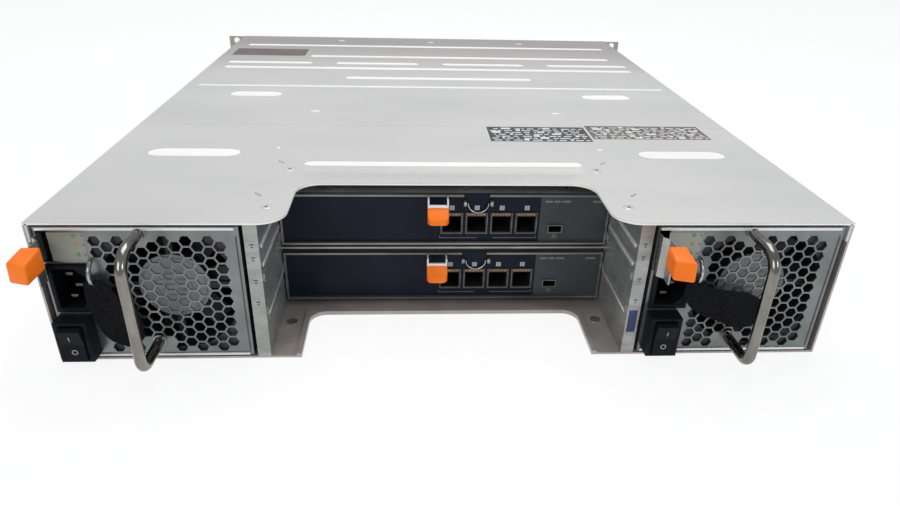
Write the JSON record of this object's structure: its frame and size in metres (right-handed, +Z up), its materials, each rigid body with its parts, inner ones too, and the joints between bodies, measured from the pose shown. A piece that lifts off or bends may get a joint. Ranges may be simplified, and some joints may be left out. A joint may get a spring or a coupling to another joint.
{
  "type": "disk shelf enclosure",
  "caption": "Rack disk shelf, service side: stacked I/O modules in a cut-back bay between hot-swap power supplies with honeycomb grilles, D handles and cord straps.",
  "frame": {"origin": "centre of the chassis footprint on its underside", "axes": "+X to the right seen from the service side, +Y towards the drive side, +Z up"},
  "size_m": [0.4826, 0.5705, 0.0868],
  "materials": {
    "cover_steel": "satin galvanised sheet",
    "galvanised_steel": "dull galvanised sheet",
    "circuit_board": "solder mask",
    "ear_paint": "satin",
    "supply_steel": "satin sheet",
    "fan_plastic": "matte",
    "black_plastic": "satin",
    "chrome_bar": "polished",
    "spring_steel": "satin",
    "orange_plastic": "satin",
    "strap_fabric": "hook-and-loop tape",
    "module_paint": "satin",
    "port_steel": "plated",
    "wire_steel": "plated wire",
    "carrier_plastic": "matte",
    "lever_plastic": "satin"
  },
  "bodies": {
    "chassis": {"chassis_pan": "galvanised_steel", "rear_cover": "cover_steel", "front_cover": "cover_steel", "bay_walls": "galvanised_steel", "module_shelf": "galvanised_steel", "midplane": "circuit_board", "drive_cage": "galvanised_steel", "rack_ears": "ear_paint"},
    "supply_left": {"supply_left_case": "supply_steel", "supply_left_inlet": "black_plastic", "supply_left_switch_housing": "black_plastic", "supply_left_handle": "chrome_bar", "supply_left_strap": "strap_fabric"},
    "supply_left_fan": {"supply_left_fan_rotor": "fan_plastic"},
    "supply_left_rocker": {"supply_left_rocker": "black_plastic"},
    "supply_left_latch": {"supply_left_latch_spring": "spring_steel", "supply_left_latch_tab": "orange_plastic"},
    "supply_right": {"supply_right_case": "supply_steel", "supply_right_inlet": "black_plastic", "supply_right_switch_housing": "black_plastic", "supply_right_handle": "chrome_bar", "supply_right_strap": "strap_fabric"},
    "supply_right_fan": {"supply_right_fan_rotor": "fan_plastic"},
    "supply_right_rocker": {"supply_right_rocker": "black_plastic"},
    "supply_right_latch": {"supply_right_latch_spring": "spring_steel", "supply_right_latch_tab": "orange_plastic"},
    "module_lower": {"module_lower_tray": "galvanised_steel", "module_lower_face": "module_paint", "module_lower_ports": "port_steel"},
    "module_lower_latch": {"module_lower_latch": "orange_plastic"},
    "module_lower_ring": {"module_lower_ring": "wire_steel"},
    "module_upper": {"module_upper_tray": "galvanised_steel", "module_upper_face": "module_paint", "module_upper_ports": "port_steel"},
    "module_upper_latch": {"module_upper_latch": "orange_plastic"},
    "module_upper_ring": {"module_upper_ring": "wire_steel"},
    "drive_1": {"drive_carrier_1": "carrier_plastic"},
    "drive_1_lever": {"carrier_lever_1": "lever_plastic"},
    "drive_2": {"drive_carrier_2": "carrier_plastic"},
    "drive_2_lever": {"carrier_lever_2": "lever_plastic"},
    "drive_3": {"drive_carrier_3": "carrier_plastic"},
    "drive_3_lever": {"carrier_lever_3": "lever_plastic"},
    "drive_4": {"drive_carrier_4": "carrier_plastic"},
    "drive_4_lever": {"carrier_lever_4": "lever_plastic"},
    "drive_5": {"drive_carrier_5": "carrier_plastic"},
    "drive_5_lever": {"carrier_lever_5": "lever_plastic"},
    "drive_6": {"drive_carrier_6": "carrier_plastic"},
    "drive_6_lever": {"carrier_lever_6": "lever_plastic"},
    "drive_7": {"drive_carrier_7": "carrier_plastic"},
    "drive_7_lever": {"carrier_lever_7": "lever_plastic"},
    "drive_8": {"drive_carrier_8": "carrier_plastic"},
    "drive_8_lever": {"carrier_lever_8": "lever_plastic"},
    "drive_9": {"drive_carrier_9": "carrier_plastic"},
    "drive_9_lever": {"carrier_lever_9": "lever_plastic"},
    "drive_10": {"drive_carrier_10": "carrier_plastic"},
    "drive_10_lever": {"carrier_lever_10": "lever_plastic"},
    "drive_11": {"drive_carrier_11": "carrier_plastic"},
    "drive_11_lever": {"carrier_lever_11": "lever_plastic"},
    "drive_12": {"drive_carrier_12": "carrier_plastic"},
    "drive_12_lever": {"carrier_lever_12": "lever_plastic"}
  },
  "joints": [
    {"name": "supply_left_slide", "type": "slide", "parent": "chassis", "child": "supply_left", "axis": [0, -1, 0], "range_m": [0, 0.26]},
    {"name": "supply_left_fan_spin", "type": "hinge", "parent": "supply_left", "child": "supply_left_fan", "pos_m": [-0.15435, -0.2506, 0.0443], "axis": [0, 1, 0], "continuous": true},
    {"name": "supply_left_rocker_tip", "type": "hinge", "parent": "supply_left", "child": "supply_left_rocker", "pos_m": [-0.20765, -0.2759, 0.0184], "axis": [-1, 0, 0], "range_deg": [0, 14]},
    {"name": "supply_left_latch_press", "type": "hinge", "parent": "supply_left", "child": "supply_left_latch", "pos_m": [-0.21685, -0.25, 0.0685], "axis": [0, 0, 1], "range_deg": [0, 3.5], "stiffness_Nm_per_rad": 2},
    {"name": "supply_right_slide", "type": "slide", "parent": "chassis", "child": "supply_right", "axis": [0, -1, 0], "range_m": [0, 0.26]},
    {"name": "supply_right_fan_spin", "type": "hinge", "parent": "supply_right", "child": "supply_right_fan", "pos_m": [0.17715, -0.2506, 0.0443], "axis": [0, 1, 0], "continuous": true},
    {"name": "supply_right_rocker_tip", "type": "hinge", "parent": "supply_right", "child": "supply_right_rocker", "pos_m": [0.12385, -0.2759, 0.0184], "axis": [-1, 0, 0], "range_deg": [0, 14]},
    {"name": "supply_right_latch_press", "type": "hinge", "parent": "supply_right", "child": "supply_right_latch", "pos_m": [0.11465, -0.25, 0.0685], "axis": [0, 0, 1], "range_deg": [0, 3.5], "stiffness_Nm_per_rad": 2},
    {"name": "module_lower_slide", "type": "slide", "parent": "chassis", "child": "module_lower", "axis": [0, -1, 0], "range_m": [0, 0.24]},
    {"name": "module_lower_latch_press", "type": "hinge", "parent": "module_lower", "child": "module_lower_latch", "pos_m": [-0.0054, -0.214, 0.0384], "axis": [1, 0, 0], "range_deg": [0, 12], "stiffness_Nm_per_rad": 0.3},
    {"name": "module_lower_ring_lift", "type": "hinge", "parent": "module_lower", "child": "module_lower_ring", "pos_m": [0.0199, -0.2125, 0.0338], "axis": [-1, 0, 0], "range_deg": [0, 85]},
    {"name": "module_upper_slide", "type": "slide", "parent": "chassis", "child": "module_upper", "axis": [0, -1, 0], "range_m": [0, 0.24]},
    {"name": "module_upper_latch_press", "type": "hinge", "parent": "module_upper", "child": "module_upper_latch", "pos_m": [-0.0054, -0.214, 0.0784], "axis": [1, 0, 0], "range_deg": [0, 12], "stiffness_Nm_per_rad": 0.3},
    {"name": "module_upper_ring_lift", "type": "hinge", "parent": "module_upper", "child": "module_upper_ring", "pos_m": [0.0199, -0.2125, 0.0738], "axis": [-1, 0, 0], "range_deg": [0, 85]},
    {"name": "drive_1_slide", "type": "slide", "parent": "chassis", "child": "drive_1", "axis": [0, 1, 0], "range_m": [0, 0.2]},
    {"name": "drive_1_lever_swing", "type": "hinge", "parent": "drive_1", "child": "drive_1_lever", "pos_m": [-0.118, 0.2633, 0.01515], "axis": [0, 0, -1], "range_deg": [0, 60]},
    {"name": "drive_2_slide", "type": "slide", "parent": "chassis", "child": "drive_2", "axis": [0, 1, 0], "range_m": [0, 0.2]},
    {"name": "drive_2_lever_swing", "type": "hinge", "parent": "drive_2", "child": "drive_2_lever", "pos_m": [-0.0077, 0.2633, 0.01515], "axis": [0, 0, -1], "range_deg": [0, 60]},
    {"name": "drive_3_slide", "type": "slide", "parent": "chassis", "child": "drive_3", "axis": [0, 1, 0], "range_m": [0, 0.2]},
    {"name": "drive_3_lever_swing", "type": "hinge", "parent": "drive_3", "child": "drive_3_lever", "pos_m": [0.1026, 0.2633, 0.01515], "axis": [0, 0, -1], "range_deg": [0, 60]},
    {"name": "drive_4_slide", "type": "slide", "parent": "chassis", "child": "drive_4", "axis": [0, 1, 0], "range_m": [0, 0.2]},
    {"name": "drive_4_lever_swing", "type": "hinge", "parent": "drive_4", "child": "drive_4_lever", "pos_m": [0.2129, 0.2633, 0.01515], "axis": [0, 0, -1], "range_deg": [0, 60]},
    {"name": "drive_5_slide", "type": "slide", "parent": "chassis", "child": "drive_5", "axis": [0, 1, 0], "range_m": [0, 0.2]},
    {"name": "drive_5_lever_swing", "type": "hinge", "parent": "drive_5", "child": "drive_5_lever", "pos_m": [-0.118, 0.2633, 0.04305], "axis": [0, 0, -1], "range_deg": [0, 60]},
    {"name": "drive_6_slide", "type": "slide", "parent": "chassis", "child": "drive_6", "axis": [0, 1, 0], "range_m": [0, 0.2]},
    {"name": "drive_6_lever_swing", "type": "hinge", "parent": "drive_6", "child": "drive_6_lever", "pos_m": [-0.0077, 0.2633, 0.04305], "axis": [0, 0, -1], "range_deg": [0, 60]},
    {"name": "drive_7_slide", "type": "slide", "parent": "chassis", "child": "drive_7", "axis": [0, 1, 0], "range_m": [0, 0.2]},
    {"name": "drive_7_lever_swing", "type": "hinge", "parent": "drive_7", "child": "drive_7_lever", "pos_m": [0.1026, 0.2633, 0.04305], "axis": [0, 0, -1], "range_deg": [0, 60]},
    {"name": "drive_8_slide", "type": "slide", "parent": "chassis", "child": "drive_8", "axis": [0, 1, 0], "range_m": [0, 0.2]},
    {"name": "drive_8_lever_swing", "type": "hinge", "parent": "drive_8", "child": "drive_8_lever", "pos_m": [0.2129, 0.2633, 0.04305], "axis": [0, 0, -1], "range_deg": [0, 60]},
    {"name": "drive_9_slide", "type": "slide", "parent": "chassis", "child": "drive_9", "axis": [0, 1, 0], "range_m": [0, 0.2]},
    {"name": "drive_9_lever_swing", "type": "hinge", "parent": "drive_9", "child": "drive_9_lever", "pos_m": [-0.118, 0.2633, 0.07095], "axis": [0, 0, -1], "range_deg": [0, 60]},
    {"name": "drive_10_slide", "type": "slide", "parent": "chassis", "child": "drive_10", "axis": [0, 1, 0], "range_m": [0, 0.2]},
    {"name": "drive_10_lever_swing", "type": "hinge", "parent": "drive_10", "child": "drive_10_lever", "pos_m": [-0.0077, 0.2633, 0.07095], "axis": [0, 0, -1], "range_deg": [0, 60]},
    {"name": "drive_11_slide", "type": "slide", "parent": "chassis", "child": "drive_11", "axis": [0, 1, 0], "range_m": [0, 0.2]},
    {"name": "drive_11_lever_swing", "type": "hinge", "parent": "drive_11", "child": "drive_11_lever", "pos_m": [0.1026, 0.2633, 0.07095], "axis": [0, 0, -1], "range_deg": [0, 60]},
    {"name": "drive_12_slide", "type": "slide", "parent": "chassis", "child": "drive_12", "axis": [0, 1, 0], "range_m": [0, 0.2]},
    {"name": "drive_12_lever_swing", "type": "hinge", "parent": "drive_12", "child": "drive_12_lever", "pos_m": [0.2129, 0.2633, 0.07095], "axis": [0, 0, -1], "range_deg": [0, 60]}
  ]
}
